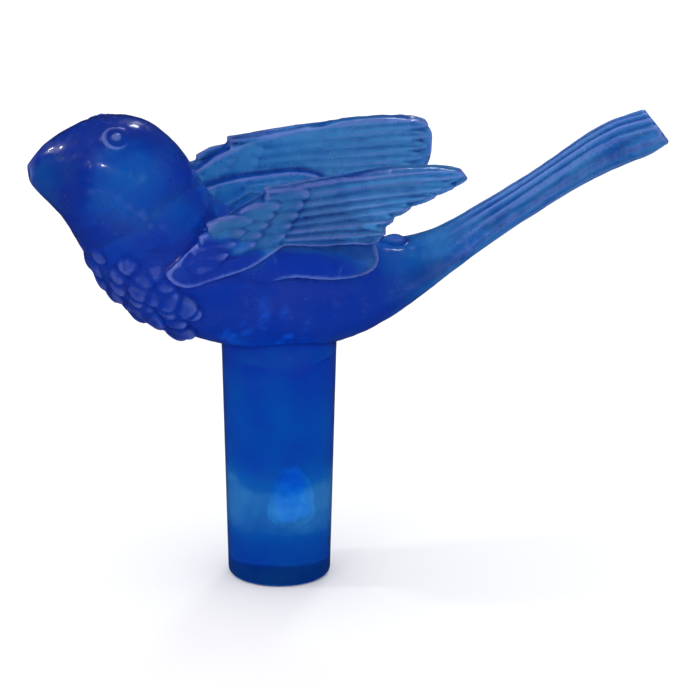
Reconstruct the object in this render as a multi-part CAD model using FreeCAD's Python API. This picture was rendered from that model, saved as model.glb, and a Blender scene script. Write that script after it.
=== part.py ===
import FreeCAD, Part
import math
import os

# A small moulded songbird on a tapered round peg, the plug-in kind that lights a ceramic tree.
# X runs from the beak (-X) to the tail (+X), Z is up, and XZ is the bird's mirror plane.
# The origin is on the peg's axis, in the plane where the peg is as thick as the hole it fits.
# Millimetres and degrees throughout.

# Peg
HOLE_DIAMETER = 4.76
SHOULDER_DIAMETER = 4.90
PEG_TAPER = 0.055
PEG_LENGTH = 10.4
PEG_EDGE_RADIUS = 0.25
PEG_BUBBLE_TOP = 5.3
PEG_BUBBLE_LENGTH = 2.9
PEG_BUBBLE_RADIUS = 0.70
PEG_BUBBLE_OFFSET = 0.35
GAUGE_DEPTH = (SHOULDER_DIAMETER - HOLE_DIAMETER) / PEG_TAPER
SHOULDER_HEIGHT = GAUGE_DEPTH
PEG_END = SHOULDER_HEIGHT - PEG_LENGTH

# Cross-sections of the bird from beak to tail, each an ellipse in a plane across the spine:
# centre x, centre z, half height, half width, and the lean of its upper side towards the tail.
SPINE = [
    (-10.90, 11.10, 0.35, 0.30, -4.0),
    (-10.00, 11.10, 1.35, 1.05, 5.0),
    (-8.90, 11.00, 2.15, 1.85, 14.0),
    (-7.40, 10.45, 2.95, 2.60, 29.0),
    (-6.21, 9.13, 3.11, 3.00, 39.0),
    (-5.09, 7.46, 2.99, 3.35, 40.0),
    (-3.30, 6.10, 2.85, 3.50, 32.0),
    (-1.30, 5.40, 2.80, 3.50, 21.0),
    (0.80, 5.10, 2.70, 3.40, 8.0),
    (2.80, 5.05, 2.30, 3.00, -3.0),
    (4.70, 5.25, 1.60, 2.30, -16.0),
    (6.60, 5.80, 0.97, 1.70, -25.0),
    (8.60, 6.85, 0.75, 1.25, -30.0),
    (11.00, 8.20, 0.70, 1.05, -31.0),
    (13.20, 9.45, 0.77, 1.10, -31.0),
    (15.00, 10.27, 0.89, 1.30, -28.0),
    (16.55, 10.84, 0.72, 1.35, -36.0),
]
SECTION_POINTS = 16

# Planes where one region of the bird ends and the next begins, each across the spine:
# a point on it (x, z) and its lean.
BEAK_ROOT = (-9.20, 11.05, 10.0)
NECK_FOLD = (-5.60, 8.20, 38.0)
TAIL_ROOT = (6.10, 5.70, -24.0)
CUTTER_SIZE = 60.0

# Wings: each is a raised plate of feathers that splays a little outwards, on a thicker root.
# Outline points are (x, z).
LEADING_EDGE = [
    (-5.70, 7.40),
    (-4.60, 8.35),
    (-3.00, 9.45),
    (-1.40, 10.30),
    (0.40, 10.72),
    (2.10, 10.92),
    (4.00, 11.13),
    (5.60, 11.09),
    (6.70, 10.90),
    (7.40, 10.45),
]
# The two wings differ at the tip: the left one is notched below its longest feather, the right one blunt.
LEFT_TRAILING_EDGE = [
    (6.70, 10.03),
    (5.80, 9.84),
    (4.70, 9.45),
    (3.95, 8.75),
]
RIGHT_TRAILING_EDGE = [
    (7.48, 9.90),
    (7.40, 9.20),
    (7.00, 8.62),
    (5.60, 8.50),
    (4.40, 8.40),
]
LOWER_EDGE = [
    (3.50, 7.95),
    (2.40, 7.95),
    (-0.50, 8.15),
    (-2.00, 7.30),
    (-4.10, 6.75),
    (-5.20, 6.70),
]
ROOT_OUTLINE = [
    (-4.60, 6.20),
    (-3.60, 8.40),
    (0.00, 9.20),
    (2.80, 8.60),
    (3.50, 6.80),
    (1.50, 6.30),
    (-1.50, 6.40),
]
WING_FRONT_X = -7.0
WING_TIP_X = 8.5
FEATHER_FRONT_SPAN = (2.50, 3.50)
FEATHER_TIP_SPAN = (2.75, 3.40)
ROOT_FRONT_SPAN = (1.30, 3.30)
ROOT_TIP_SPAN = (1.50, 3.10)
WING_BASE_Z = 5.0
WING_TOP_Z = 12.0
FEATHER_SPLAY = 0.30
ROOT_INNER_SPLAY = 1.60

# Eyes: shallow domes high on the sides of the head.
EYE_CENTRE = (-7.40, 1.31, 12.77)
EYE_RADIUS = 0.62
EYE_RISE = 0.16
EYE_ANGLE = 54.0


def section(x, z, half_height, half_width, lean):
    """One closed elliptical section across the spine."""
    tilt = math.radians(lean)
    points = []
    for index in range(SECTION_POINTS):
        turn = 2.0 * math.pi * index / SECTION_POINTS
        rise = half_height * math.cos(turn)
        side = half_width * math.sin(turn)
        point = FreeCAD.Vector(x + rise * math.sin(tilt), side, z + rise * math.cos(tilt))
        points.append(point)
    curve = Part.BSplineCurve()
    curve.interpolate(Points=points, PeriodicFlag=True)
    return Part.Wire([curve.toShape()])


def whole_bird():
    """Beak, head, torso and tail as one smooth solid, before it is divided."""
    wires = [section(*station) for station in SPINE]
    return Part.makeLoft(wires, True, False)


def behind(cut):
    """A block that covers everything on the tail side of a plane across the spine."""
    x, z, lean = cut
    half = CUTTER_SIZE / 2.0
    block = Part.makeBox(CUTTER_SIZE, CUTTER_SIZE, CUTTER_SIZE, FreeCAD.Vector(0.0, -half, -half))
    block.rotate(FreeCAD.Vector(0.0, 0.0, 0.0), FreeCAD.Vector(0.0, 1.0, 0.0), lean)
    block.translate(FreeCAD.Vector(x, 0.0, z))
    return block


def largest_solid(shape):
    """The biggest solid of a cut shape, which leaves out stray slivers."""
    return max(shape.Solids, key=lambda solid: solid.Volume)


def wing_layer(outline, front_span, tip_span, inner_splay):
    """One layer of a wing on the +Y side: an outline (x, z) between an inner and an outer face.

    The spans are (inner y, outer y) at the layer's foot, at the wing's front and at its tip.
    The inner face moves outwards by inner_splay up to the top, the outer one by FEATHER_SPLAY.
    """
    points = [FreeCAD.Vector(x, 0.0, z) for x, z in outline]
    curve = Part.BSplineCurve()
    curve.interpolate(Points=points, PeriodicFlag=True)
    face = Part.Face(Part.Wire([curve.toShape()]))
    prism = face.extrude(FreeCAD.Vector(0.0, 2.0 * front_span[1], 0.0))
    levels = []
    for z, inner_shift, outer_shift in ((WING_BASE_Z, 0.0, 0.0), (WING_TOP_Z, inner_splay, FEATHER_SPLAY)):
        corners = [
            FreeCAD.Vector(WING_FRONT_X, front_span[0] + inner_shift, z),
            FreeCAD.Vector(WING_TIP_X, tip_span[0] + inner_shift, z),
            FreeCAD.Vector(WING_TIP_X, tip_span[1] + outer_shift, z),
            FreeCAD.Vector(WING_FRONT_X, front_span[1] + outer_shift, z),
        ]
        levels.append(Part.makePolygon(corners + corners[:1]))
    return prism.common(Part.makeLoft(levels, True, True))


def wing_blank(trailing_edge):
    """A whole wing on the +Y side with the given trailing edge, before it is cut to the torso."""
    outline = LEADING_EDGE + trailing_edge + LOWER_EDGE
    feathers = wing_layer(outline, FEATHER_FRONT_SPAN, FEATHER_TIP_SPAN, FEATHER_SPLAY)
    root = wing_layer(ROOT_OUTLINE, ROOT_FRONT_SPAN, ROOT_TIP_SPAN, ROOT_INNER_SPLAY)
    return feathers.fuse(root)


def mirrored(shape):
    """The same shape on the other side of the mirror plane."""
    return shape.mirror(FreeCAD.Vector(0.0, 0.0, 0.0), FreeCAD.Vector(0.0, 1.0, 0.0))


def eye_lens():
    """The lens-shaped blank of an eye on the +Y side, half of it under the head's surface."""
    ball_radius = (EYE_RADIUS ** 2 + EYE_RISE ** 2) / (2.0 * EYE_RISE)
    sink = ball_radius - EYE_RISE
    upper = Part.makeSphere(ball_radius, FreeCAD.Vector(0.0, 0.0, -sink))
    post = Part.makeCylinder(EYE_RADIUS, 2.0 * EYE_RISE, FreeCAD.Vector(0.0, 0.0, -EYE_RISE))
    lens = upper.common(post)
    lens.rotate(FreeCAD.Vector(0.0, 0.0, 0.0), FreeCAD.Vector(1.0, 0.0, 0.0), EYE_ANGLE - 90.0)
    lens.translate(FreeCAD.Vector(*EYE_CENTRE))
    return lens


def peg_bubble():
    """The teardrop void that shrinkage leaves in the thick peg, narrow end up."""
    top = SHOULDER_HEIGHT - PEG_BUBBLE_TOP
    bottom = top - PEG_BUBBLE_LENGTH
    middle = bottom + PEG_BUBBLE_RADIUS
    axis_top = FreeCAD.Vector(0.0, 0.0, top)
    axis_bottom = FreeCAD.Vector(0.0, 0.0, bottom)
    widest = FreeCAD.Vector(PEG_BUBBLE_RADIUS, 0.0, middle)
    diagonal = PEG_BUBBLE_RADIUS * math.sqrt(0.5)
    lower = Part.Arc(axis_bottom, FreeCAD.Vector(diagonal, 0.0, middle - diagonal), widest)
    flank = FreeCAD.Vector(PEG_BUBBLE_RADIUS * 0.62, 0.0, (top + middle) / 2.0)
    upper = Part.BSplineCurve()
    upper.interpolate(Points=[widest, flank, axis_top])
    axis = Part.LineSegment(axis_top, axis_bottom)
    wire = Part.Wire([lower.toShape(), upper.toShape(), axis.toShape()])
    bubble = Part.Face(wire).revolve(FreeCAD.Vector(0.0, 0.0, 0.0), FreeCAD.Vector(0.0, 0.0, 1.0), 360.0)
    bubble.translate(FreeCAD.Vector(PEG_BUBBLE_OFFSET, 0.0, 0.0))
    return bubble


def peg_blank():
    """The tapered peg, reaching up into the torso, with its shrinkage void."""
    rise = 1.5
    top_radius = (SHOULDER_DIAMETER + rise * PEG_TAPER) / 2.0
    end_radius = (SHOULDER_DIAMETER - PEG_LENGTH * PEG_TAPER) / 2.0
    cone = Part.makeCone(end_radius, top_radius, PEG_LENGTH + rise, FreeCAD.Vector(0.0, 0.0, PEG_END))
    rim = [edge for edge in cone.Edges if edge.BoundBox.ZMax < PEG_END + PEG_EDGE_RADIUS]
    return cone.makeFillet(PEG_EDGE_RADIUS, rim).cut(peg_bubble())


def build():
    """Every named piece of the bird, keyed by its node name."""
    bird = whole_bird()
    past_beak = behind(BEAK_ROOT)
    past_neck = behind(NECK_FOLD)
    past_tail_root = behind(TAIL_ROOT)
    eye = largest_solid(eye_lens().cut(bird))
    wing_right = largest_solid(wing_blank(RIGHT_TRAILING_EDGE).cut(bird))
    wing_left = largest_solid(wing_blank(LEFT_TRAILING_EDGE).cut(bird))
    return {
        "beak": largest_solid(bird.cut(past_beak)),
        "head": largest_solid(bird.common(past_beak).cut(past_neck)),
        "body": largest_solid(bird.common(past_neck).cut(past_tail_root)),
        "tail": largest_solid(bird.common(past_tail_root)),
        "eye_right": eye,
        "eye_left": mirrored(eye),
        "wing_right": wing_right,
        "wing_left": mirrored(wing_left),
        "peg": largest_solid(peg_blank().cut(bird)),
    }


def main():
    """Write one STEP file for each piece."""
    os.makedirs("parts", exist_ok=True)
    for name, shape in build().items():
        shape.exportStep(os.path.join("parts", name + ".step"))
        box = shape.BoundBox
        print(f"{name}: valid {shape.isValid()}, volume {shape.Volume:.2f} mm3,",
              f"size {box.XLength:.2f} x {box.YLength:.2f} x {box.ZLength:.2f}")


main()
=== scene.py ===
"""A songbird ornament moulded in clear blue plastic, on the tapered peg that plugs it into its hole.

The bird is sculpted as one skin, as it leaves the mould, and then divided into its named pieces.
Sculpting is done in millimetres and the finished pieces are in metres.
"""

import logging
import math
import random
from dataclasses import dataclass, field, replace
from enum import Enum

import bmesh
import bpy
import numpy as np
from mathutils import Matrix, Vector, noise
from mathutils.bvhtree import BVHTree


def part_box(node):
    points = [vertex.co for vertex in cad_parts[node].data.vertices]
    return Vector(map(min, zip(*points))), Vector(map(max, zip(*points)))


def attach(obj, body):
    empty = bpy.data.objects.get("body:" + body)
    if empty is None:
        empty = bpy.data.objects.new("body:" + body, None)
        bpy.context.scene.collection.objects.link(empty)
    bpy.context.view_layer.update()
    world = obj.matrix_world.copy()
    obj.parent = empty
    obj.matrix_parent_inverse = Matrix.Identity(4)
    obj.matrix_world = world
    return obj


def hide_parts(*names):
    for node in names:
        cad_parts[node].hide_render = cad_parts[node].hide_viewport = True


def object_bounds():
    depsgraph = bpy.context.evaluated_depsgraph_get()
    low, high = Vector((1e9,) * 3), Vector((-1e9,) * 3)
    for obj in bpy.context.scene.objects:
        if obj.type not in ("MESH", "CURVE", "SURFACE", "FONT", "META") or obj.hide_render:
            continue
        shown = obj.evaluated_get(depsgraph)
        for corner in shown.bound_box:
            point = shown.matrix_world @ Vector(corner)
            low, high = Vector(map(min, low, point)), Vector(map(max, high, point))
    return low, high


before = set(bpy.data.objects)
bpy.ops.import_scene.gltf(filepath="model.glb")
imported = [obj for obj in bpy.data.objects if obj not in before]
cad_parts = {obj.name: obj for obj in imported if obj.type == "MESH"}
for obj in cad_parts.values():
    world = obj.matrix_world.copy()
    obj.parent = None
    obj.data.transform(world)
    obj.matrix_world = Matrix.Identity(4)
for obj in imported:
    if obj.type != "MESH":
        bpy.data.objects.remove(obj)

LOG = logging.getLogger("songbird")
CAD_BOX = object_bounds()
MM = 0.001
CAD_TO_MM = Matrix.Scale(1.0 / MM, 4)
MM_TO_CAD = Matrix.Scale(MM, 4)
FULL_TURN = 2.0 * math.pi
# The thickness attribute also carries painted light and shade: paler cheeks, shade behind the beak's root and
# in the wing recesses.
DEPTH_AND_PAINTED_TONES = "depth"
RELIEF = "relief"

# Tolerances and small distances, in millimetres.
WELD = 1e-3
SPIN_WELD = 1e-4
ON_PLANE = 1e-5
RAY_START = 0.04
THINNEST = 0.1

SMOOTHING = 0.6
FACES_OUT = 0.6
NOISE_SHIFT = Vector((9.0, 0.0, 0.0))

# Where the polish of the peg's bore gives way to the bird's cavity, in metres, and how dull the bore is.
BORE_HEIGHT = 0.0005
CAVITY_HEIGHT = 0.0050
BORE_POLISH = 0.40
SCUFF_SHARE = 0.18

# The spans of thickness over which the dye changes, the spans of relief over which the painted highlight on
# ridges and the painted shade in grooves come in, and how strong these are.
WHOLE = (0.0, 1.0)
THIN_SPAN = (0.10, 0.42)
THICK_SPAN = (0.42, 0.85)
PAINTED_GROOVE_SHADE_SPAN = (-1.0, -0.08)
PAINTED_RIDGE_HIGHLIGHT_SPAN = (0.20, 1.0)
PAINTED_GROOVE_SHADE_SHARE = 0.85
PAINTED_RIDGE_HIGHLIGHT_SHARE = 0.70

AIM_HEIGHT = 0.006
MIX_SOCKETS = {"FLOAT": (2, 3, 0), "RGBA": (6, 7, 2)}


class Side(Enum):
    """A side of the bird, as the sign of its Y."""

    LEFT = -1.0
    RIGHT = 1.0

    @property
    def mirror(self) -> Vector:
        """What a place on the right side is multiplied by to lie on this one."""
        return Vector((1.0, self.value, 1.0))


class Slot(Enum):
    """The material slots that every moulded piece has, in order."""

    CRYSTAL = 0
    JOINT = 1
    # The void faces, which take the painted glow.
    BUBBLE = 2


# ---------------------------------------------------------------- shapes


def box_mm(node: str) -> tuple[Vector, Vector]:
    """The lowest and highest corner of a CAD node, in millimetres."""
    low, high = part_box(node)
    return Vector(low) / MM, Vector(high) / MM


def mesh_of(part: bmesh.types.BMesh, name: str) -> bpy.types.Mesh:
    """Turns a shell into a mesh.

    Args:
        part: The shell, which is freed.
        name: The mesh's name.

    Returns:
        The mesh.
    """
    mesh = bpy.data.meshes.new(name)
    part.to_mesh(mesh)
    part.free()
    return mesh


def merge(part: bmesh.types.BMesh, whole: bmesh.types.BMesh) -> None:
    """Moves a shell into another.

    Args:
        part: The shell, which is freed.
        whole: What it is added to.
    """
    mesh = mesh_of(part, "shell")
    whole.from_mesh(mesh)
    bpy.data.meshes.remove(mesh)


def revolve(part: bmesh.types.BMesh, profile: list, steps: int) -> None:
    """Spins a profile all the way round Z.

    Args:
        part: The mesh that holds it.
        profile: Its vertices and edges.
        steps: How many steps the turn takes.
    """
    centre, axis = (0.0, 0.0, 0.0), (0.0, 0.0, 1.0)
    bmesh.ops.spin(
        part, geom=profile, cent=centre, axis=axis, angle=FULL_TURN, steps=steps, use_merge=True
    )


def placed(name: str, data: bpy.types.ID) -> bpy.types.Object:
    """Puts an object into the scene, at the origin.

    Args:
        name: Its name.
        data: Its mesh, camera or light.

    Returns:
        The object.
    """
    made = bpy.data.objects.new(name, data)
    bpy.context.scene.collection.objects.link(made)
    return made


def frame_matrix(origin: Vector, along: Vector, outward: Vector) -> Matrix:
    """A matrix that stands a shape on a surface.

    Args:
        origin: Where the shape's own origin goes.
        along: Where its X goes.
        outward: Where its Z goes, as nearly as along allows.

    Returns:
        The 4x4 matrix.
    """
    x_axis = along.normalized()
    y_axis = outward.cross(x_axis).normalized()
    z_axis = x_axis.cross(y_axis).normalized()
    turn = Matrix((x_axis, y_axis, z_axis)).transposed().to_4x4()
    return Matrix.Translation(origin) @ turn


@dataclass
class Clay:
    """Closed shells that overlap, waiting to be fused into one skin."""

    shells: bmesh.types.BMesh = field(default_factory=bmesh.new)

    def add(self, part: bmesh.types.BMesh, place: Matrix) -> None:
        """Puts a shell in place.

        Args:
            part: The shell, which is freed.
            place: Where it goes.
        """
        bmesh.ops.transform(part, matrix=place, verts=part.verts)
        if place.determinant() < 0.0:
            bmesh.ops.reverse_faces(part, faces=part.faces)
        merge(part, self.shells)

    def add_cad(self, node: str, thin: float = 0.0, above: float = 0.0) -> None:
        """Adds a copy of a CAD node as the plain form under the relief.

        Args:
            node: The CAD node's name.
            thin: How far its outer face is drawn in, in millimetres, to leave room for relief.
            above: The height above which it is drawn in.
        """
        part = bmesh.new()
        part.from_mesh(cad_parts[node].data)
        bmesh.ops.transform(part, matrix=CAD_TO_MM, verts=part.verts)
        bmesh.ops.remove_doubles(part, verts=part.verts, dist=WELD)
        part.normal_update()
        for vert in part.verts:
            outward = math.copysign(1.0, vert.co.y)
            if thin and vert.co.z > above and vert.normal.y * outward > FACES_OUT:
                vert.co.y -= outward * thin
        self.add(part, Matrix())

    def add_ball(self, centre: Vector, radii: Vector, turn: Matrix | None = None) -> None:
        """Adds an ellipsoid.

        Args:
            centre: Its centre.
            radii: Its three half axes.
            turn: A rotation, if it is turned.
        """
        part = bmesh.new()
        bmesh.ops.create_icosphere(part, subdivisions=4, radius=1.0)
        scale = Matrix.Diagonal((*radii, 1.0))
        self.add(part, Matrix.Translation(centre) @ (turn or Matrix()) @ scale)

    def fused(self, voxel: float) -> bmesh.types.BMesh:
        """Fuses the shells into one closed skin.

        Args:
            voxel: The size of the skin's faces, in millimetres.

        Returns:
            The skin.
        """
        mesh = mesh_of(self.shells, "clay")
        lump = placed("clay", mesh)
        remesh = lump.modifiers.new("fuse", "REMESH")
        remesh.mode = "VOXEL"
        remesh.voxel_size = voxel
        skin = bmesh.new()
        skin.from_object(lump, bpy.context.evaluated_depsgraph_get())
        bpy.data.objects.remove(lump)
        bpy.data.meshes.remove(mesh)
        return skin


@dataclass(frozen=True)
class Feather:
    """One moulded feather: a leaf-shaped shell, root at its own origin, tip along X, Z outwards."""

    length: float
    width: float
    thickness: float = 0.22
    lift: float = 0.10
    cup: float = 0.10
    barbs: int = 0
    barb_depth: float = 0.0
    bluntness: float = 0.55
    root_share: float = 0.62
    root_growth: float = 1.1
    last_station: float = 0.995

    def half_width(self, along: float) -> float:
        """Half the feather's width.

        Args:
            along: 0 at the root, 1 at the tip.

        Returns:
            The half width there.
        """
        root = min(1.0, self.root_share + self.root_growth * along)
        tip = max(0.0, 1.0 - along ** (2.0 / self.bluntness)) ** 0.5
        return self.width / 2.0 * root * tip

    def blade(self) -> bmesh.types.BMesh:
        """Makes the feather.

        Returns:
            Its closed shell.
        """
        part = bmesh.new()
        across = 6 + 4 * self.barbs
        bmesh.ops.create_grid(part, x_segments=16, y_segments=across, size=0.5)
        for vert in part.verts:
            along = min(vert.co.x + 0.5, self.last_station)
            side = 2.0 * vert.co.y
            ridge = self.barb_depth * math.cos(math.pi * self.barbs * side)
            vert.co.x = along * self.length
            vert.co.y = side * self.half_width(along)
            vert.co.z = self.lift * along - self.cup * side * side + ridge
        bmesh.ops.solidify(part, geom=part.faces[:], thickness=self.thickness)
        bmesh.ops.recalc_face_normals(part, faces=part.faces)
        return part


@dataclass(frozen=True)
class Swell:
    """A soft rise of the skin along a line, or a groove where its height is negative; the same shape also
    lays painted light and shade onto the thickness.
    """

    start: Vector
    end: Vector
    radius: float
    height: float

    def at(self, point: Vector) -> float:
        """How far the skin rises.

        Args:
            point: A point on the skin.

        Returns:
            The rise there, in millimetres.
        """
        line = self.end - self.start
        share = (point - self.start).dot(line) / line.length_squared
        nearest = self.start + line * max(0.0, min(1.0, share))
        distance = (point - nearest).length / self.radius
        return 0.0 if distance >= 1.0 else self.height * (1.0 - distance * distance) ** 2


def on_both_sides(rows: tuple) -> list[Swell]:
    """Swells on both sides, from the start, end, radius and height of each one on the right."""
    return [
        Swell(Vector(start) * side.mirror, Vector(end) * side.mirror, radius, height)
        for side in Side
        for start, end, radius, height in rows
    ]


@dataclass(frozen=True)
class Cut:
    """A plane that divides the bird. Ahead is the side that its normal points to."""

    point: Vector
    normal: Vector

    def flipped(self) -> "Cut":
        """The same plane, facing the other way."""
        return Cut(self.point, -self.normal)

    def keep_behind(self, skin: bmesh.types.BMesh) -> None:
        """Takes off what lies ahead of the plane and closes the section.

        The section is filled as a whole, so one rim inside another leaves a hole in the cap.

        Args:
            skin: A closed skin, changed in place.
        """
        everything = skin.verts[:] + skin.edges[:] + skin.faces[:]
        result = bmesh.ops.bisect_plane(
            skin, geom=everything, dist=ON_PLANE, plane_co=self.point, plane_no=self.normal, clear_outer=True
        )
        rim = [item for item in result["geom_cut"] if isinstance(item, bmesh.types.BMEdge)]
        rim = [edge for edge in rim if edge.is_valid and edge.is_boundary]
        if not rim:
            return
        filled = bmesh.ops.triangle_fill(
            skin, edges=rim, use_beauty=True, use_dissolve=False, normal=self.normal
        )
        caps = [item for item in filled["geom"] if isinstance(item, bmesh.types.BMFace)]
        for face in caps:
            face.material_index = Slot.JOINT.value
            face.smooth = False


def averaged(values: np.ndarray, ends: np.ndarray, passes: int) -> np.ndarray:
    """Averages a value on every vertex with its neighbours'.

    Args:
        values: One value for each vertex.
        ends: The two vertices of each edge.
        passes: How often it is done.

    Returns:
        The smoothed values.
    """
    count = np.maximum(np.bincount(ends.ravel(), minlength=len(values)), 1)
    for _ in range(passes):
        total = np.bincount(ends[:, 0], values[ends[:, 1]], len(values))
        total += np.bincount(ends[:, 1], values[ends[:, 0]], len(values))
        values = (1.0 - SMOOTHING) * values + SMOOTHING * total / count
    return values


def measure(
    part: bmesh.types.BMesh,
    deepest: float,
    passes: int,
    relief_passes: int,
    full_relief: float,
    painted_tones: list[Swell],
) -> None:
    """Stores on every vertex how thick the plastic is behind it, with painted light and shade added, and how
    far it stands out.

    Args:
        part: A closed solid, which gains both layers.
        deepest: The thickness, in millimetres, that counts as 1.
        passes: How often the thickness is averaged with its neighbours'.
        relief_passes: How wide a neighbourhood a vertex is compared with.
        full_relief: The height above it, in millimetres, that counts as 1.
        painted_tones: Painted light and shade, added to the thickness where the plastic is painted paler or
            darker than its thickness makes it.
    """
    tree = BVHTree.FromBMesh(part)
    depth_and_painted_tone_layer = part.verts.layers.float.new(DEPTH_AND_PAINTED_TONES)
    relief_layer = part.verts.layers.float.new(RELIEF)
    part.verts.index_update()
    depth = np.empty(len(part.verts))
    for vert in part.verts:
        inward = -vert.normal
        _, _, _, reach = tree.ray_cast(vert.co + inward * RAY_START, inward)
        depth[vert.index] = min(reach or THINNEST, deepest)
    ends = np.array([(edge.verts[0].index, edge.verts[1].index) for edge in part.edges])
    depth = averaged(depth, ends, passes)
    places = np.array([vert.co for vert in part.verts])
    normals = np.array([vert.normal for vert in part.verts])
    calm = np.stack([averaged(places[:, axis], ends, relief_passes) for axis in range(3)], axis=1)
    calm_normals = np.stack([averaged(normals[:, axis], ends, 2) for axis in range(3)], axis=1)
    raised = ((places - calm) * calm_normals).sum(axis=1)
    raised = averaged(raised, ends, 1)
    for vert in part.verts:
        # The tones add painted light and shade onto the thickness.
        vert[depth_and_painted_tone_layer] = depth[vert.index] / deepest + sum(painted_tone.at(vert.co) for painted_tone in painted_tones)
        vert[relief_layer] = max(-1.0, min(1.0, raised[vert.index] / full_relief))


# ---------------------------------------------------------------- the bird


@dataclass
class Head:
    """Head and beak: soft cheeks, a fold behind them, ringed eyes and a rounded bill."""

    eye: Vector = field(default_factory=lambda: Vector((-7.40, 1.31, 12.77)))
    eye_normal: Vector = field(default_factory=lambda: Vector((-0.08, 0.58, 0.81)))
    eye_seat: float = 0.05
    eye_ring_radius: float = 0.52
    eye_ring_wire: float = 0.065
    pupil_radius: float = 0.34
    bill_tip: Vector = field(default_factory=lambda: Vector((-10.60, 0.0, 11.10)))
    bill_radii: Vector = field(default_factory=lambda: Vector((0.34, 0.36, 0.40)))
    pupil_rise: float = 0.55
    ring_sink: float = 0.025
    relief: tuple = (
        ((-7.2, 2.5, 10.9), (-6.5, 2.9, 9.9), 2.1, 0.15),
        ((-8.3, 2.2, 10.2), (-6.2, 3.1, 8.7), 0.75, -0.07),
        ((-9.1, 1.7, 11.9), (-9.3, 1.7, 10.5), 0.60, -0.06),
        ((-8.1, 1.3, 12.7), (-6.6, 1.2, 13.0), 0.80, 0.05),
    )
    # Painted light on the cheeks and painted shade behind the beak's root, laid onto the thickness.
    painted_light_and_shade: tuple = (
        ((-7.2, 2.5, 11.1), (-6.3, 2.9, 10.0), 2.7, -0.34),
        ((-9.2, 1.6, 12.0), (-9.4, 1.5, 10.6), 1.1, 0.22),
    )

    def eye_place(self, side: Side) -> Matrix:
        """Where the eye on one side stands on the head, Z outwards."""
        return frame_matrix(self.eye * side.mirror, Vector((1.0, 0.0, 0.0)), self.eye_normal * side.mirror)

    def swells(self) -> list[Swell]:
        """The head's soft relief: on each side a cheek, the folds below and ahead of it, and the brow."""
        return on_both_sides(self.relief)

    def painted_tones(self) -> list[Swell]:
        """Painted light on the flat cheeks, where light passes straight through, and painted shade behind the
        beak's root, which bends it away.
        """
        return on_both_sides(self.painted_light_and_shade)

    def sculpt(self, clay: Clay) -> None:
        """Adds the head's relief.

        Args:
            clay: The bird being sculpted.
        """
        clay.add_cad("head")
        clay.add_cad("beak")
        clay.add_ball(self.bill_tip, self.bill_radii)
        for side in Side:
            place = self.eye_place(side)
            ring = bmesh.new()
            aside = Matrix.Translation((self.eye_ring_radius, 0.0, 0.0))
            upright = aside @ Matrix.Rotation(math.pi / 2, 4, "X")
            bmesh.ops.create_circle(
                ring, cap_ends=False, segments=12, radius=self.eye_ring_wire, matrix=upright
            )
            revolve(ring, ring.edges[:], 36)
            bmesh.ops.recalc_face_normals(ring, faces=ring.faces)
            clay.add(ring, place @ Matrix.Translation((0.0, 0.0, -self.ring_sink)))
            clay.add_ball(place.translation, Vector((self.pupil_radius,) * 3) * self.pupil_rise)


@dataclass
class Breast:
    """The torso with its ruffled breast, rows of rounded steps, and the knob on its rump."""

    heart: Vector = field(default_factory=lambda: Vector((-4.6, 0.0, 7.2)))
    first_angle: float = 170.0
    last_angle: float = 264.0
    rows: int = 8
    spread: float = 64.0
    steps_in_row: int = 7
    step_radii: Vector = field(default_factory=lambda: Vector((0.80, 0.66, 0.42)))
    reach: float = 14.0
    step_tilt: float = 25.0
    sink: float = 0.20
    uneven_angle: float = 5.0
    uneven_sink: float = 0.10
    uneven_size: tuple = (0.85, 1.2)
    calm_rows: float = 1.5
    calm_sink: float = 0.10
    knob_inset: float = 1.55
    knob_height: float = 6.62
    knob_radii: Vector = field(default_factory=lambda: Vector((0.55, 0.5, 0.30)))

    def unevenness(self, chance: random.Random) -> float:
        """A small random turn, in degrees."""
        return chance.uniform(-self.uneven_angle, self.uneven_angle)

    def sculpt(self, clay: Clay, form: BVHTree, chance: random.Random) -> None:
        """Adds the torso's relief.

        Args:
            clay: The bird being sculpted.
            form: The plain form's surface.
            chance: The source of unevenness.
        """
        clay.add_cad("body")
        stride = (self.last_angle - self.first_angle) / (self.rows - 1)
        for row in range(self.rows):
            turn = math.radians(self.first_angle + stride * row)
            stagger = 0.5 * (row % 2)
            for place in range(self.steps_in_row):
                share = (place + stagger) / (self.steps_in_row - 0.5)
                swing = math.radians(self.spread * (2.0 * share - 1.0) + self.unevenness(chance))
                flat = Vector((math.cos(turn), 0.0, math.sin(turn)))
                ray = flat * math.cos(swing) + Vector((0.0, math.sin(swing), 0.0))
                point, normal, _, _ = form.ray_cast(self.heart + ray * self.reach, -ray)
                if point is None:
                    continue
                flow = Vector((-math.sin(turn), 0.0, math.cos(turn)))
                flow = (flow - normal * flow.dot(normal)).normalized()
                calm = max(0.0, 1.0 - row / self.calm_rows) * self.calm_sink
                centre = point - normal * (self.sink + calm + chance.uniform(0.0, self.uneven_sink))
                turned = frame_matrix(Vector(), flow, normal)
                tilt = Matrix.Rotation(math.radians(-self.step_tilt + self.unevenness(chance)), 4, "Y")
                clay.add_ball(centre, self.step_radii * chance.uniform(*self.uneven_size), turned @ tilt)
        _, high = box_mm("body")
        clay.add_ball(Vector((high.x - self.knob_inset, 0.0, self.knob_height)), self.knob_radii)


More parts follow.
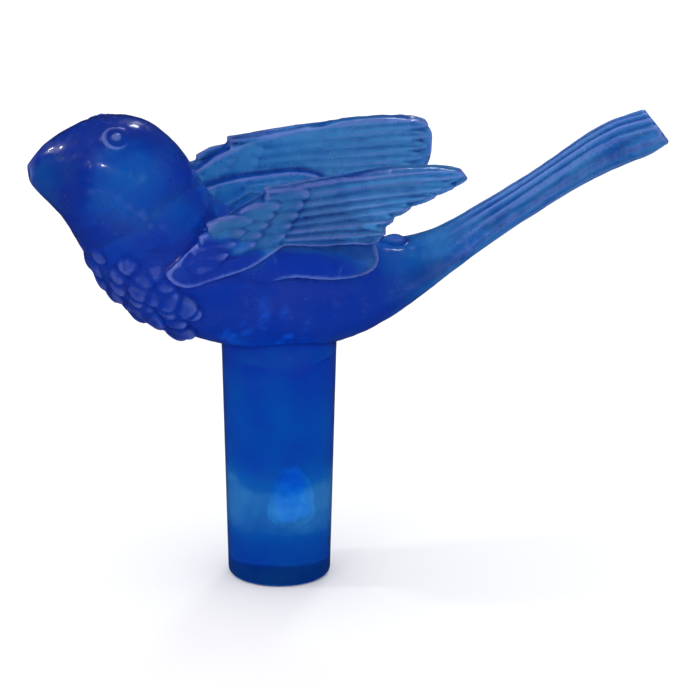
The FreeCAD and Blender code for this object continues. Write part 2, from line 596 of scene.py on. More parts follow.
@dataclass
class Wing:
    """One raised wing: long flight feathers, rows of coverts and a smooth shoulder."""

    side: Side
    flight_roots: tuple = ((0.33, 0.84), (0.34, 0.74), (0.35, 0.65), (0.36, 0.57), (0.37, 0.50), (0.38, 0.44))
    flight_tips: tuple = (
        (0.99, 0.90), (0.955, 0.79), (0.89, 0.72), (0.81, 0.63), (0.755, 0.53), (0.73, 0.42),
    )
    blunt_tips: tuple = ((0.99, 0.90), (0.985, 0.80), (0.98, 0.70), (0.965, 0.61), (0.94, 0.52), (0.80, 0.43))
    flight: Feather = field(default_factory=lambda: Feather(1.0, 0.92, 0.30, 0.0, 0.07, 2, 0.045, 0.34))
    covert_rows: tuple = (
        ((0.47, 0.87), (0.39, 0.50), 5),
        ((0.37, 0.78), (0.29, 0.44), 5),
        ((0.28, 0.66), (0.20, 0.36), 4),
    )
    covert_rise: float = 16.0
    covert_unevenness: float = 0.09
    flight_roll: float = 9.0
    covert_roll: float = 8.0
    outer_face: float = 0.48
    inner_face: float = -0.27
    covert_face: float = 0.45
    front_inset: float = 0.44
    tip_inset: float = 0.50
    foot_inset: float = 0.20
    shoulder: tuple = (0.13, 0.27)
    shoulder_radii: Vector = field(default_factory=lambda: Vector((1.45, 0.55, 0.80)))
    shoulder_lean: float = -20.0
    covert: Feather = field(
        default_factory=lambda: Feather(1.9, 0.86, thickness=0.26, lift=0.19, cup=0.10, bluntness=0.6)
    )

    @staticmethod
    def painted_tones() -> list[Swell]:
        """Painted shade in the recess under each feather plate: the thickness there is raised so that it
        takes a darker colour.
        """
        return on_both_sides((((-0.2, 3.4, 7.5), (2.8, 3.3, 7.5), 1.0, 0.30),))

    @property
    def node(self) -> str:
        """The CAD node that this wing stands for."""
        return "wing_left" if self.side is Side.LEFT else "wing_right"

    def at(self, along: float, up: float) -> Vector:
        """A point on the wing's middle sheet.

        Args:
            along: 0 at the wing's front, 1 at its tip.
            up: 0 at its foot, 1 at its top.

        Returns:
            The point, in millimetres.
        """
        low, high = box_mm(self.node)
        outer = max(abs(low.y), abs(high.y))
        front_y = outer - self.front_inset
        tip_y = outer - self.tip_inset
        y = front_y + (tip_y - front_y) * along + self.foot_inset * (up - 1.0)
        return Vector((low.x + (high.x - low.x) * along, self.side.value * y, low.z + (high.z - low.z) * up))

    def lay(self, clay: Clay, feather: Feather, root: Vector, tip: Vector, off: float, roll: float) -> None:
        """Lays one feather on a face of the wing.

        Args:
            clay: The bird being sculpted.
            feather: The feather.
            root: Where its root is on the middle sheet.
            tip: Where its tip points.
            off: How far outwards it lies, negative on the inner face.
            roll: How far its lower edge is turned out, in degrees.
        """
        outward = Vector((0.0, math.copysign(self.side.value, self.side.value * off), 0.0))
        place = frame_matrix(root + outward * abs(off), tip - root, outward)
        hand = 1.0 if place.col[1].z < 0.0 else -1.0
        clay.add(feather.blade(), place @ Matrix.Rotation(math.radians(-roll * hand), 4, "X"))

    def sculpt(self, clay: Clay, chance: random.Random) -> None:
        """Adds the wing.

        Args:
            clay: The bird being sculpted.
            chance: The source of unevenness.
        """
        clay.add_cad(self.node, thin=0.15, above=8.0)
        tips = self.flight_tips if self.side is Side.LEFT else self.blunt_tips
        for (root_u, root_w), (tip_u, tip_w) in zip(self.flight_roots, tips):
            root = self.at(root_u, root_w)
            tip = self.at(tip_u, tip_w)
            feather = replace(self.flight, length=(tip - root).length)
            for off in (self.outer_face, self.inner_face):
                self.lay(clay, feather, root, tip, off, self.flight_roll)
        rise = math.radians(self.covert_rise)
        for (first_u, first_w), (last_u, last_w), count in self.covert_rows:
            for place in range(count):
                share = place / (count - 1)
                tip = self.at(first_u + (last_u - first_u) * share, first_w + (last_w - first_w) * share)
                angle = rise + chance.uniform(-self.covert_unevenness, self.covert_unevenness)
                root = tip - Vector((math.cos(angle), 0.0, math.sin(angle))) * self.covert.length
                self.lay(clay, self.covert, root, tip, self.covert_face, self.covert_roll)
        lean = Matrix.Rotation(math.radians(self.shoulder_lean), 4, "Y")
        clay.add_ball(self.at(*self.shoulder), self.shoulder_radii, lean)


@dataclass
class Tail:
    """The long tail: lengthwise ribs that follow its width, and a scalloped blunt tip."""

    ribs: float = 2.5
    rib_height: float = 0.055
    scallop: float = 0.06
    fade: float = 2.5
    slice_width: float = 0.25
    narrowest: float = 0.1
    inset: float = 1.0
    tip_length: float = 0.9
    roof: tuple = (4.3, 5.9, 0.532)

    def under_roof(self, point: Vector) -> bool:
        """Whether a point lies under the sloping plane that parts the tail from the wings."""
        x, z, slope = self.roof
        return point.z < z + slope * (point.x - x)

    def half_widths(self, skin: bmesh.types.BMesh, start: float) -> dict[int, float]:
        """How wide the tail is along its length.

        Args:
            skin: The fused skin.
            start: Where the tail begins.

        Returns:
            Half its width for each slice across it.
        """
        widths: dict[int, float] = {}
        for vert in skin.verts:
            if vert.co.x > start and self.under_roof(vert.co):
                place = int(vert.co.x / self.slice_width)
                widths[place] = max(widths.get(place, self.narrowest), abs(vert.co.y))
        return widths

    def rib(self, skin: bmesh.types.BMesh) -> None:
        """Works the ribs and the tip's scallops into the skin.

        Args:
            skin: The fused skin, changed in place.
        """
        low, high = box_mm("tail")
        start = low.x + self.inset
        widths = self.half_widths(skin, start)
        for vert in skin.verts:
            half = widths.get(int(vert.co.x / self.slice_width))
            if half is None or vert.co.x < start or not self.under_roof(vert.co):
                continue
            across = max(-1.0, min(1.0, vert.co.y / half))
            wave = math.cos(FULL_TURN * self.ribs * across)
            grown = min(1.0, (vert.co.x - start) / self.fade)
            near_tip = max(0.0, 1.0 - (high.x - vert.co.x) / self.tip_length)
            vert.co += vert.normal * wave * self.rib_height * grown * (1.0 - across ** 6)
            vert.co.x -= self.scallop * near_tip * (0.5 - 0.5 * wave)

    def sculpt(self, clay: Clay) -> None:
        """Adds the tail's plain form."""
        clay.add_cad("tail")


@dataclass
class Peg:
    """The tapered plug-in peg, turned about Z, with the void that shrinkage leaves in it."""

    hole_radius: float = 2.38
    taper: float = 0.0275
    edge_radius: float = 0.25
    steps: int = 128
    rings: int = 40
    void_top: float = -2.75
    void_length: float = 2.9
    void_radius: float = 0.66
    void_offset: float = 0.35
    edge_steps: int = 6
    void_foot_steps: int = 8
    void_steps: int = 12
    void_pinch: float = 0.12
    wobble: float = 0.06
    wobble_pitch: float = 1.4

    def radius(self, height: float) -> float:
        """The peg's radius at a height, in millimetres."""
        return self.hole_radius + self.taper * height

    def turned(self, profile: list[Vector]) -> bmesh.types.BMesh:
        """Turns a profile about Z.

        Args:
            profile: Points in the XZ plane, the first and last on the axis.

        Returns:
            The closed shell, facing outwards.
        """
        part = bmesh.new()
        verts = [part.verts.new(point) for point in profile]
        edges = [part.edges.new(pair) for pair in zip(verts, verts[1:])]
        revolve(part, verts + edges, self.steps)
        bmesh.ops.remove_doubles(part, verts=part.verts, dist=SPIN_WELD)
        bmesh.ops.recalc_face_normals(part, faces=part.faces)
        for face in part.faces:
            face.smooth = True
        return part

    def build(self, top: float) -> bmesh.types.BMesh:
        """Makes the peg.

        Args:
            top: The height at which it meets the torso.

        Returns:
            The peg with its void, in millimetres.
        """
        low, _ = box_mm("peg")
        foot = low.z
        corner = foot + self.edge_radius
        inner = self.radius(corner) - self.edge_radius
        profile = [Vector((0.0, 0.0, foot)), Vector((inner * 0.5, 0.0, foot))]
        for step in range(self.edge_steps + 1):
            turn = math.pi / 2.0 * step / self.edge_steps
            reach = inner + self.edge_radius * math.sin(turn)
            profile.append(Vector((reach, 0.0, corner - self.edge_radius * math.cos(turn))))
        for step in range(1, self.rings + 1):
            height = corner + (top - corner) * step / self.rings
            profile.append(Vector((self.radius(height), 0.0, height)))
        profile.append(Vector((0.0, 0.0, top)))
        part = self.turned(profile)
        for face in part.faces:
            if face.calc_center_median().z > top - WELD:
                face.material_index = Slot.JOINT.value
                face.smooth = False
        self.add_void(part)
        return part

    def add_void(self, part: bmesh.types.BMesh) -> None:
        """Puts the teardrop void into the peg.

        Args:
            part: The peg, changed in place.
        """
        bottom = self.void_top - self.void_length
        middle = bottom + self.void_radius
        profile = []
        for step in range(self.void_foot_steps + 1):
            turn = math.pi / 2.0 * step / self.void_foot_steps
            width = self.void_radius * math.sin(turn)
            profile.append(Vector((width, 0.0, middle - self.void_radius * math.cos(turn))))
        for step in range(1, self.void_steps + 1):
            share = step / self.void_steps
            width = self.void_radius * math.sqrt(1.0 - share * share) * (1.0 - self.void_pinch * share)
            profile.append(Vector((width, 0.0, middle + (self.void_top - middle) * share)))
        void = self.turned(profile)
        for vert in void.verts:
            vert.co.x += self.void_offset + self.wobble * noise.noise(vert.co * self.wobble_pitch)
            vert.co.y += self.wobble * noise.noise(vert.co * self.wobble_pitch + NOISE_SHIFT)
        add_void_shell(part, void)


@dataclass(frozen=True)
class ShrinkMark:
    """A small sealed void low in the thick torso."""

    centre: Vector
    radii: Vector
    lump_height: float = 0.16
    lump_pitch: float = 1.7

    def shell(self) -> bmesh.types.BMesh:
        """Makes the void's lumpy shell."""
        part = bmesh.new()
        bmesh.ops.create_icosphere(part, subdivisions=3, radius=1.0)
        for vert in part.verts:
            vert.co *= 1.0 + self.lump_height * noise.noise(vert.co * self.lump_pitch + self.centre)
            vert.co = vert.co * self.radii + self.centre
        for face in part.faces:
            face.smooth = True
        return part


def add_void_shell(part: bmesh.types.BMesh, void: bmesh.types.BMesh) -> None:
    """Sets a sealed void into a solid piece, its faces turned to the hollow.

    Args:
        part: The solid piece, changed in place.
        void: The void's outward-facing shell, which is freed.
    """
    bmesh.ops.reverse_faces(void, faces=void.faces)
    for face in void.faces:
        face.material_index = Slot.BUBBLE.value
    merge(void, part)


@dataclass
class Songbird:
    """The whole bird: its skin, how it is divided, and the peg."""

    voxel: float = 0.062
    seed: int = 11
    lump_size: float = 0.9
    lump_height: float = 0.022
    fine_size: float = 0.4
    fine_height: float = 0.5
    head_back: float = -4.0
    head_foot: float = 7.0
    deepest: float = 7.0
    depth_passes: int = 24
    peg_depth_passes: int = 6
    relief_passes: int = 11
    full_relief: float = 0.023
    peg_plane: float = 2.20
    beak_root: tuple = (-9.20, 11.05, 10.0)
    neck_fold: tuple = (-5.60, 8.20, 38.0)
    tail_root: tuple = (6.10, 5.70, -24.0)
    wing_root: Vector = field(default_factory=lambda: Vector((0.0, 2.62, 6.85)))
    wing_lean: Vector = field(default_factory=lambda: Vector((0.0, 0.72, 0.69)))
    gap: tuple = (7.60, 7.65, 28.0)
    void_count: int = 22
    void_zone: tuple = ((-2.4, 0.9), (-1.8, 0.4), (3.6, 5.2))
    void_sizes: tuple = (0.06, 0.17)
    void_shape: tuple = (1.5, 1.0, 0.8)

    def plain_form(self) -> BVHTree:
        """The surface of the plain head, torso and tail.

        Returns:
            A tree to cast rays at.
        """
        form = bmesh.new()
        for node in ("beak", "head", "body", "tail"):
            form.from_mesh(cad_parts[node].data)
        bmesh.ops.transform(form, matrix=CAD_TO_MM, verts=form.verts)
        tree = BVHTree.FromBMesh(form)
        form.free()
        return tree

    def sculpt(self) -> bmesh.types.BMesh:
        """Sculpts the bird as one skin.

        Returns:
            The fused skin, in millimetres.
        """
        chance = random.Random(self.seed)
        clay = Clay()
        head, tail = Head(), Tail()
        head.sculpt(clay)
        Breast().sculpt(clay, self.plain_form(), chance)
        Wing(Side.LEFT).sculpt(clay, chance)
        Wing(Side.RIGHT).sculpt(clay, chance)
        tail.sculpt(clay)
        clay.add_cad("peg")
        skin = clay.fused(self.voxel)
        bmesh.ops.smooth_vert(
            skin, verts=skin.verts, factor=0.5, use_axis_x=True, use_axis_y=True, use_axis_z=True
        )
        skin.normal_update()
        tail.rib(skin)
        swells = head.swells()
        for vert in skin.verts:
            lump = noise.noise(vert.co / self.lump_size)
            lump += self.fine_height * noise.noise(vert.co / (self.fine_size * self.lump_size))
            rise = lump * self.lump_height
            if vert.co.x < self.head_back and vert.co.z > self.head_foot:
                rise += sum(swell.at(vert.co) for swell in swells)
            vert.co += vert.normal * rise
        for face in skin.faces:
            face.smooth = True
        skin.normal_update()
        return skin

    def cuts(self) -> dict[str, Cut]:
        """The planes that divide the bird, each facing away from the torso.

        Returns:
            The planes by name.
        """

        def across(plane: tuple, ahead: float) -> Cut:
            """A plane across the spine, from its x, z and lean."""
            x, z, lean = plane
            tilt = math.radians(lean)
            return Cut(Vector((x, 0.0, z)), Vector((ahead * math.cos(tilt), 0.0, -ahead * math.sin(tilt))))

        gap_x, gap_z, slope = self.gap
        rise = math.radians(slope)
        planes = {
            "beak": across(self.beak_root, -1.0),
            "neck": across(self.neck_fold, -1.0),
            "tail": across(self.tail_root, 1.0),
            "gap": Cut(Vector((gap_x, 0.0, gap_z)), Vector((-math.sin(rise), 0.0, math.cos(rise)))),
            "peg": Cut(Vector((0.0, 0.0, self.peg_plane)), Vector((0.0, 0.0, -1.0))),
        }
        head = Head()
        for side in Side:
            name = side.name.lower()
            planes["wing_" + name] = Cut(self.wing_root * side.mirror, self.wing_lean * side.mirror)
            place = head.eye_place(side)
            outward = place.col[2].to_3d()
            planes["eye_" + name] = Cut(place.translation - outward * head.eye_seat, outward)
        return planes

    def regions(self) -> dict[str, list[Cut]]:
        """What bounds each piece.

        Returns:
            For each piece, the planes that it lies behind.
        """
        cut = self.cuts()
        neck, tail, gap = cut["neck"], cut["tail"], cut["gap"]
        pieces = {
            "beak": [cut["beak"].flipped()],
            "head": [neck.flipped(), cut["beak"], cut["eye_left"], cut["eye_right"]],
            "body": [cut["peg"], neck, tail, cut["wing_left"], cut["wing_right"]],
            "tail": [tail.flipped(), gap],
        }
        for side in Side:
            name = side.name.lower()
            pieces["eye_" + name] = [cut["eye_" + name].flipped(), neck.flipped()]
            pieces["wing_" + name] = [cut["wing_" + name].flipped(), neck, gap.flipped()]
        return pieces

    def shrink_marks(self) -> list[ShrinkMark]:
        """The small voids low in the torso."""
        chance = random.Random(self.seed + 1)
        marks = []
        for _ in range(self.void_count):
            centre = Vector([chance.uniform(*span) for span in self.void_zone])
            size = chance.uniform(*self.void_sizes)
            marks.append(ShrinkMark(centre, Vector([size * share for share in self.void_shape])))
        return marks

    def build(self) -> dict[str, bmesh.types.BMesh]:
        """Sculpts and divides the bird and makes its peg.

        Returns:
            Every piece by the name of the CAD node that it stands for, in millimetres.
        """
        skin = self.sculpt()
        # Painted light and shade of the head and wings, added to the thickness.
        painted_tones = Head().painted_tones() + Wing.painted_tones()
        measure(skin, self.deepest, self.depth_passes, self.relief_passes, self.full_relief, painted_tones)
        pieces = {}
        for name, bounds in self.regions().items():
            piece = skin.copy()
            for cut in bounds:
                cut.keep_behind(piece)
            bmesh.ops.recalc_face_normals(piece, faces=piece.faces[:])
            pieces[name] = piece
        skin.free()
        for mark in self.shrink_marks():
            add_void_shell(pieces["body"], mark.shell())
        peg = Peg().build(self.peg_plane)
        measure(peg, self.deepest, self.peg_depth_passes, 0, self.full_relief, [])
        pieces["peg"] = peg
        return pieces


# ---------------------------------------------------------------- finishes


@dataclass(frozen=True)
class Grain:
    """A noise pattern: how fine it is, per metre, and how many octaves it has."""

    scale: float
    detail: float


SWIRLS = Grain(480.0, 6.0)
FLECKS = Grain(2600.0, 2.0)
PATCHES = Grain(700.0, 5.0)
PEEL = Grain(1500.0, 3.0)
SCUFFS = Grain(9000.0, 2.0)
CLOUDS = Grain(60.0, 3.0)


@dataclass
class Graph:
    """A node tree being wired up."""

    tree: bpy.types.NodeTree

    def node(self, kind: str, **settings: object) -> bpy.types.Node:
        """Adds a node.

        Args:
            kind: Its type.
            **settings: Its properties.

        Returns:
            The node.
        """
        made = self.tree.nodes.new(kind)
        for name, value in settings.items():
            setattr(made, name, value)
        return made

    def link(self, source: bpy.types.NodeSocket, target: bpy.types.NodeSocket) -> None:
        """Joins two sockets."""
        self.tree.links.new(source, target)

    def feed(self, value: object, target: bpy.types.NodeSocket) -> None:
        """Gives an input its value.

        Args:
            value: A socket to link, or a plain value.
            target: The input.
        """
        if isinstance(value, bpy.types.NodeSocket):
            self.link(value, target)
        else:
            target.default_value = value

    def noise(self, coordinates: bpy.types.NodeSocket, grain: Grain) -> bpy.types.NodeSocket:
        """Adds a noise texture.

        Args:
            coordinates: Where it is read.
            grain: Its pattern.

        Returns:
            Its value.
        """
        made = self.node("ShaderNodeTexNoise")
        made.inputs["Scale"].default_value = grain.scale
        made.inputs["Detail"].default_value = grain.detail
        self.link(coordinates, made.inputs["Vector"])
        return made.outputs["Fac"]

    def spread(self, value: bpy.types.NodeSocket, given: tuple, wanted: tuple) -> bpy.types.NodeSocket:
        """Maps one range to another.

        Args:
            value: What is mapped.
            given: The ends of its range.
            wanted: What they become.

        Returns:
            The mapped value.
        """
        made = self.node("ShaderNodeMapRange")
        for name, number in zip(("From Min", "From Max", "To Min", "To Max"), given + wanted):
            made.inputs[name].default_value = number
        self.link(value, made.inputs["Value"])
        return made.outputs["Result"]

    def combine(self, operation: str, *terms: object, clamped: bool = False) -> bpy.types.NodeSocket:
        """Works out a value from others.

        Args:
            operation: What is done.
            *terms: Sockets or numbers.
            clamped: Whether the result is kept between 0 and 1.

        Returns:
            The result.
        """
        made = self.node("ShaderNodeMath", operation=operation, use_clamp=clamped)
        for term, target in zip(terms, made.inputs):
            self.feed(term, target)
        return made.outputs[0]

    def blend(
        self, share: bpy.types.NodeSocket, first: object, second: object, kind: str = "RGBA"
    ) -> bpy.types.NodeSocket:
        """Mixes two colours or two numbers.

        Args:
            share: How much of the second there is.
            first: The first, as a socket or a plain value.
            second: The second.
            kind: What is mixed, a key of MIX_SOCKETS.

        Returns:
            The mixture.
        """
        made = self.node("ShaderNodeMix", data_type=kind)
        at_first, at_second, result = MIX_SOCKETS[kind]
        self.link(share, made.inputs["Factor"])
        self.feed(first, made.inputs[at_first])
        self.feed(second, made.inputs[at_second])
        return made.outputs[result]


def mirrored_only(graph: Graph) -> bpy.types.NodeSocket:
    """A mask for what is seen mirrored in gloss, not through clear plastic, which counts as glossy too.

    Args:
        graph: The node tree that reads the mask.

    Returns:
        1 for a mirrored ray and 0 for any other.
    """
    ray = graph.node("ShaderNodeLightPath")
    glossy, through = ray.outputs["Is Glossy Ray"], ray.outputs["Is Transmission Ray"]
    return graph.combine("SUBTRACT", glossy, through, clamped=True)


def group(
    name: str, inputs: dict[str, str], outputs: dict[str, str]
) -> tuple[Graph, bpy.types.Node, bpy.types.Node]:
    """Starts a node group.

    Args:
        name: The group's name.
        inputs: The socket type of each input.
        outputs: The socket type of each output.

    Returns:
        Its graph, its input node and its output node.
    """
    tree = bpy.data.node_groups.new(name, "ShaderNodeTree")
    for socket, kind in inputs.items():
        tree.interface.new_socket(socket, in_out="INPUT", socket_type=kind)
    for socket, kind in outputs.items():
        tree.interface.new_socket(socket, in_out="OUTPUT", socket_type=kind)
    graph = Graph(tree)
    return graph, graph.node("NodeGroupInput"), graph.node("NodeGroupOutput")


def tint_group() -> bpy.types.NodeTree:
    """The colour of the dyed plastic: paler where it is thin, with painted light and shade added to the
    thickness, a painted highlight on its ridges, painted shade in its grooves, slow swirls of dye, and flecks
    that on the void are painted glints.

    Returns:
        The group.
    """
    colour = "NodeSocketColor"
    inputs = {name: colour for name in ("Thin", "Middle", "Deep", "Ridge", "Groove")}
    inputs["Flecks"] = "NodeSocketFloat"
    graph, given, result = group("dye_by_thickness", inputs, {"Color": colour})
    # The stored thickness also carries the painted light and shade of the cheeks, beak root and wing
    # recesses.
    depth = graph.node("ShaderNodeAttribute", attribute_name=DEPTH_AND_PAINTED_TONES).outputs["Fac"]
    relief = graph.node("ShaderNodeAttribute", attribute_name=RELIEF).outputs["Fac"]
    place = graph.node("ShaderNodeTexCoord").outputs["Object"]
    swirl = graph.spread(graph.noise(place, SWIRLS), (0.30, 0.70), (-0.15, 0.15))
    fleck = graph.spread(graph.noise(place, FLECKS), (0.35, 0.65), (-0.04, 0.04))
    uneven = graph.combine("MULTIPLY_ADD", fleck, given.outputs["Flecks"], swirl)
    shifted = graph.combine("ADD", depth, uneven)
    thin = graph.spread(shifted, THIN_SPAN, WHOLE)
    thick = graph.spread(shifted, THICK_SPAN, WHOLE)
    shallow = graph.blend(thin, given.outputs["Thin"], given.outputs["Middle"])
    dyed = graph.blend(thick, shallow, given.outputs["Deep"])
    # Painted shade in the grooves.
    groove_shade_share = graph.spread(relief, PAINTED_GROOVE_SHADE_SPAN, (PAINTED_GROOVE_SHADE_SHARE, 0.0))
    with_painted_groove_shade = graph.blend(groove_shade_share, dyed, given.outputs["Groove"])
    # A painted highlight on the ridges.
    ridge_highlight_share = graph.spread(relief, PAINTED_RIDGE_HIGHLIGHT_SPAN, (0.0, PAINTED_RIDGE_HIGHLIGHT_SHARE))
    with_painted_ridge_highlight = graph.blend(ridge_highlight_share, with_painted_groove_shade, given.outputs["Ridge"])
    graph.link(with_painted_ridge_highlight, result.inputs["Color"])
    return graph.tree


def handling_group() -> bpy.types.NodeTree:
    """The uneven polish of a small moulding: dull handled patches, fine scuffs and orange peel.

    The peg comes from a polished bore and the bird from a worn cavity, so the bird is duller.

    Returns:
        The group.
    """
    number = "NodeSocketFloat"
    inputs = {"Polished": number, "Dull": number}
    graph, given, result = group("handled_polish", inputs, {"Roughness": number, "Height": number})
    place = graph.node("ShaderNodeTexCoord").outputs["Object"]
    patches = graph.spread(graph.noise(place, PATCHES), (0.35, 0.70), WHOLE)
    mixed = graph.blend(patches, given.outputs["Polished"], given.outputs["Dull"], "FLOAT")
    split = graph.node("ShaderNodeSeparateXYZ")
    graph.link(place, split.inputs["Vector"])
    upward = graph.spread(split.outputs["Z"], (BORE_HEIGHT, CAVITY_HEIGHT), (BORE_POLISH, 1.0))
    graph.link(graph.combine("MULTIPLY", mixed, upward), result.inputs["Roughness"])
    peel, scuffs = graph.noise(place, PEEL), graph.noise(place, SCUFFS)
    graph.link(graph.combine("MULTIPLY_ADD", scuffs, SCUFF_SHARE, peel), result.inputs["Height"])
    return graph.tree


def new_material(name: str) -> tuple[bpy.types.Material, Graph, bpy.types.Node]:
    """Starts a material.

    Args:
        name: Its name.

    Returns:
        The material, its graph and its shader.
    """
    made = bpy.data.materials.new(name)
    made.use_nodes = True
    return made, Graph(made.node_tree), made.node_tree.nodes["Principled BSDF"]


@dataclass(frozen=True)
class DyedPlastic:
    """Clear dyed plastic, coloured by how thick it is, with a painted highlight on its ridges and painted
    shade in its grooves.
    """

    name: str
    thin: tuple
    middle: tuple
    # The ridge colour is a painted highlight and the groove colour is painted shade.
    deep: tuple
    ridge: tuple
    groove: tuple
    polished: float = 0.17
    dull: float = 0.34
    clearness: float = 0.60
    refraction: float = 1.49
    relief: float = 0.25
    relief_height: float = 0.00004
    inner_gloss: float = 0.20
    skin_gloss: float = 0.50
    skin_roughness: float = 0.05
    # Strength of a painted glow, made by emission.
    glow: float = 0.0
    flecks: float = 1.0

    def material(self, tint: bpy.types.NodeTree, handling: bpy.types.NodeTree) -> bpy.types.Material:
        """Makes the material.

        Args:
            tint: The group that colours it.
            handling: The group that dulls it.

        Returns:
            The material.
        """
        made, graph, shader = new_material(self.name)
        shader.inputs["Transmission Weight"].default_value = self.clearness
        shader.inputs["IOR"].default_value = self.refraction
        shader.inputs["Specular IOR Level"].default_value = self.inner_gloss
        shader.inputs["Coat Weight"].default_value = self.skin_gloss
        shader.inputs["Coat Roughness"].default_value = self.skin_roughness
        colour = graph.node("ShaderNodeGroup", node_tree=tint)
        for socket in ("Thin", "Middle", "Deep", "Ridge", "Groove"):
            colour.inputs[socket].default_value = (*getattr(self, socket.lower()), 1.0)
        graph.link(colour.outputs["Color"], shader.inputs["Base Color"])
        colour.inputs["Flecks"].default_value = self.flecks
        # A painted glow: emission in the dyed colour, on a surface that is no lamp.
        if self.glow:
            shader.inputs["Emission Strength"].default_value = self.glow
            graph.link(colour.outputs["Color"], shader.inputs["Emission Color"])
        polish = graph.node("ShaderNodeGroup", node_tree=handling)
        polish.inputs["Polished"].default_value = self.polished
        polish.inputs["Dull"].default_value = self.dull
        graph.link(polish.outputs["Roughness"], shader.inputs["Roughness"])
        bump = graph.node("ShaderNodeBump")
        bump.inputs["Strength"].default_value = self.relief
        bump.inputs["Distance"].default_value = self.relief_height
        graph.link(polish.outputs["Height"], bump.inputs["Height"])
        graph.link(bump.outputs["Normal"], shader.inputs["Normal"])
        return made


@dataclass(frozen=True)
class Unseen:
    """The section inside the moulding where one piece runs on into the next."""

    name: str = "joined_section"

    def material(self) -> bpy.types.Material:
        """Makes the material, which lets everything through."""
        made, _, shader = new_material(self.name)
        shader.inputs["Alpha"].default_value = 0.0
        return made


@dataclass(frozen=True)
class Backdrop:
    """The pale floor, which turns near-black where the bird mirrors it, a painted dark reflection."""

    shade: tuple = (0.96, 0.96, 0.965)
    faint: tuple = (0.93, 0.93, 0.935)
    # Its colour in reflections: painted darkness, for a dim room in front of the bird.
    in_gloss: tuple = (0.006, 0.010, 0.030)
    half_size: float = 0.6
    roughness: float = 0.85

    def build(self, height: float) -> bpy.types.Object:
        """Lays the floor.

        Args:
            height: Its height, in metres.

        Returns:
            The floor.
        """
        part = bmesh.new()
        bmesh.ops.create_grid(part, x_segments=1, y_segments=1, size=self.half_size)
        bmesh.ops.translate(part, vec=(0.0, 0.0, height), verts=part.verts)
        mesh = mesh_of(part, "floor")
        made, graph, shader = new_material("pale_floor")
        shader.inputs["Roughness"].default_value = self.roughness
        place = graph.node("ShaderNodeTexCoord").outputs["Object"]
        shade = graph.blend(graph.noise(place, CLOUDS), (*self.shade, 1.0), (*self.faint, 1.0))
        # Painted dark reflection: the floor is near-black where it is seen mirrored in the bird.
        floor_with_painted_dark_reflection = graph.blend(mirrored_only(graph), shade, (*self.in_gloss, 1.0))
        graph.link(floor_with_painted_dark_reflection, shader.inputs["Base Color"])
        mesh.materials.append(made)
        return placed("floor", mesh)


# ---------------------------------------------------------------- studio


@dataclass(frozen=True)
class Softbox:
    """A soft square light aimed at the bird. Its place is turned round Z and raised, in degrees."""

    name: str
    azimuth: float
    elevation: float
    distance: float
    size: float
    power: float
    colour: tuple = (1.0, 1.0, 1.0)

    def build(self, target: Vector) -> None:
        """Sets up the light.

        Args:
            target: What it is aimed at.
        """
        lamp = bpy.data.lights.new(self.name, "AREA")
        lamp.size = self.size
        lamp.energy = self.power
        lamp.color = self.colour
        stand = placed(self.name, lamp)
        turn, rise = math.radians(self.azimuth), math.radians(self.elevation)
        flat = Vector((math.sin(turn), -math.cos(turn), 0.0)) * math.cos(rise)
        stand.location = target + (flat + Vector((0.0, 0.0, math.sin(rise)))) * self.distance
        stand.rotation_euler = (target - stand.location).to_track_quat("-Z", "Y").to_euler()


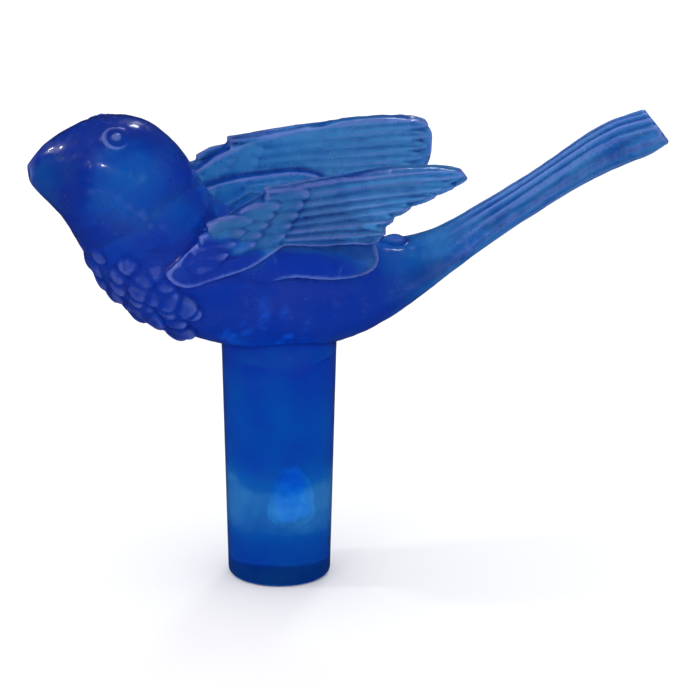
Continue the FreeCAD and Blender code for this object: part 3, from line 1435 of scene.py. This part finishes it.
@dataclass
class Studio:
    """White surroundings, softboxes and the camera."""

    azimuth: float = -14.0
    elevation: float = 20.0
    across: float = 0.02982
    distance: float = 0.9
    sensor: float = 36.0
    aim: tuple = (0.00302, 0.00201)
    surround: float = 1.08
    surround_in_gloss: float = 0.02
    softboxes: tuple = (
        Softbox("key", -100.0, 46.0, 0.16, 0.011, 0.030, (0.97, 0.93, 1.0)),
        Softbox("window", -40.0, 38.0, 0.20, 0.008, 0.012, (0.94, 0.92, 1.0)),
        Softbox("spot", -64.0, 30.0, 0.20, 0.005, 0.006, (0.96, 0.90, 1.0)),
        Softbox("rim", 150.0, 40.0, 0.18, 0.030, 0.040, (0.95, 0.98, 1.0)),
    )

    def camera(self) -> None:
        """Sets up the camera at the angle that shows the bird's left side from a little above."""
        turn, rise = math.radians(self.azimuth), math.radians(self.elevation)
        right = Vector((math.cos(turn), math.sin(turn), 0.0))
        ahead = Vector((-math.sin(turn) * math.cos(rise), math.cos(turn) * math.cos(rise), -math.sin(rise)))
        up = right.cross(ahead)
        target = right * self.aim[0] + up * self.aim[1]
        lens = bpy.data.cameras.new("camera")
        lens.sensor_width = self.sensor
        lens.lens = self.sensor * self.distance / self.across
        lens.clip_start = 0.01
        view = placed("camera", lens)
        view.location = target - ahead * self.distance
        view.rotation_euler = ahead.to_track_quat("-Z", "Y").to_euler()
        bpy.context.scene.camera = view

    def surroundings(self) -> None:
        """Lights the bird from all round, but keeps the surroundings dim in its gloss."""
        world = bpy.data.worlds.new("surroundings")
        bpy.context.scene.world = world
        world.use_nodes = True
        graph = Graph(world.node_tree)
        glow = world.node_tree.nodes["Background"]
        strength = graph.spread(mirrored_only(graph), WHOLE, (self.surround, self.surround_in_gloss))
        graph.link(strength, glow.inputs["Strength"])
        glow.inputs["Color"].default_value = (1.0, 1.0, 1.0, 1.0)

    def build(self) -> None:
        """Sets up camera, surroundings and lights."""
        self.camera()
        self.surroundings()
        bpy.context.scene.view_settings.view_transform = "Standard"
        for softbox in self.softboxes:
            softbox.build(Vector((0.0, 0.0, AIM_HEIGHT)))


# ---------------------------------------------------------------- assembly


# The ridge colour is a lilac painted highlight on feather edges and the groove colour is painted shade; the
# thin colour is paler for the thin dye and greyer for a painted sheen.
CRYSTAL = DyedPlastic(
    name="dyed_crystal",
    thin=(0.046, 0.260, 0.60),
    middle=(0.001, 0.100, 0.46),
    deep=(0.0002, 0.034, 0.40),
    ridge=(0.230, 0.300, 0.80),
    groove=(0.0003, 0.010, 0.24),
)
# The void's bright cyan colours, strong flecks and emission are painted glow and painted glints, for the
# light the air pocket reflects.
VOID_WITH_PAINTED_GLOW = DyedPlastic(
    name="shrinkage_void",
    thin=(0.15, 0.60, 0.95),
    middle=(0.05, 0.40, 0.85),
    deep=(0.02, 0.25, 0.70),
    ridge=(0.70, 0.95, 1.00),
    groove=(0.01, 0.15, 0.55),
    polished=0.03,
    dull=0.08,
    glow=0.40,
    flecks=7.0,
)


def finish_piece(name: str, part: bmesh.types.BMesh, finishes: list[bpy.types.Material]) -> bpy.types.Object:
    """Turns a finished mesh into a piece of the bird.

    Args:
        name: The CAD node that it stands for.
        part: Its mesh in millimetres, which is freed.
        finishes: The materials, in the order of Slot.

    Returns:
        The piece, in metres.
    """
    loose = [vert for vert in part.verts if not vert.link_faces]
    bmesh.ops.delete(part, geom=loose, context="VERTS")
    for edge in part.edges:
        kinds = {face.material_index for face in edge.link_faces}
        edge.smooth = len(kinds) < 2
    bmesh.ops.transform(part, matrix=MM_TO_CAD, verts=part.verts)
    mesh = mesh_of(part, "moulded_" + name)
    for material in finishes:
        mesh.materials.append(material)
    piece = placed("moulded_" + name, mesh)
    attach(piece, "root")
    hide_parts(name)
    return piece


def main() -> None:
    """Builds, dresses and reports every piece."""
    logging.basicConfig(level=logging.INFO, format="%(message)s")
    tint, handling = tint_group(), handling_group()
    finishes = [CRYSTAL.material(tint, handling), Unseen().material(), VOID_WITH_PAINTED_GLOW.material(tint, handling)]
    for name, part in Songbird().build().items():
        piece = finish_piece(name, part, finishes)
        triangles = sum(len(face.vertices) - 2 for face in piece.data.polygons)
        LOG.info("%s: %d triangles", piece.name, triangles)
    floor = Backdrop().build(CAD_BOX[0][2])
    Studio().build()


if __name__ == "__main__":
    main()
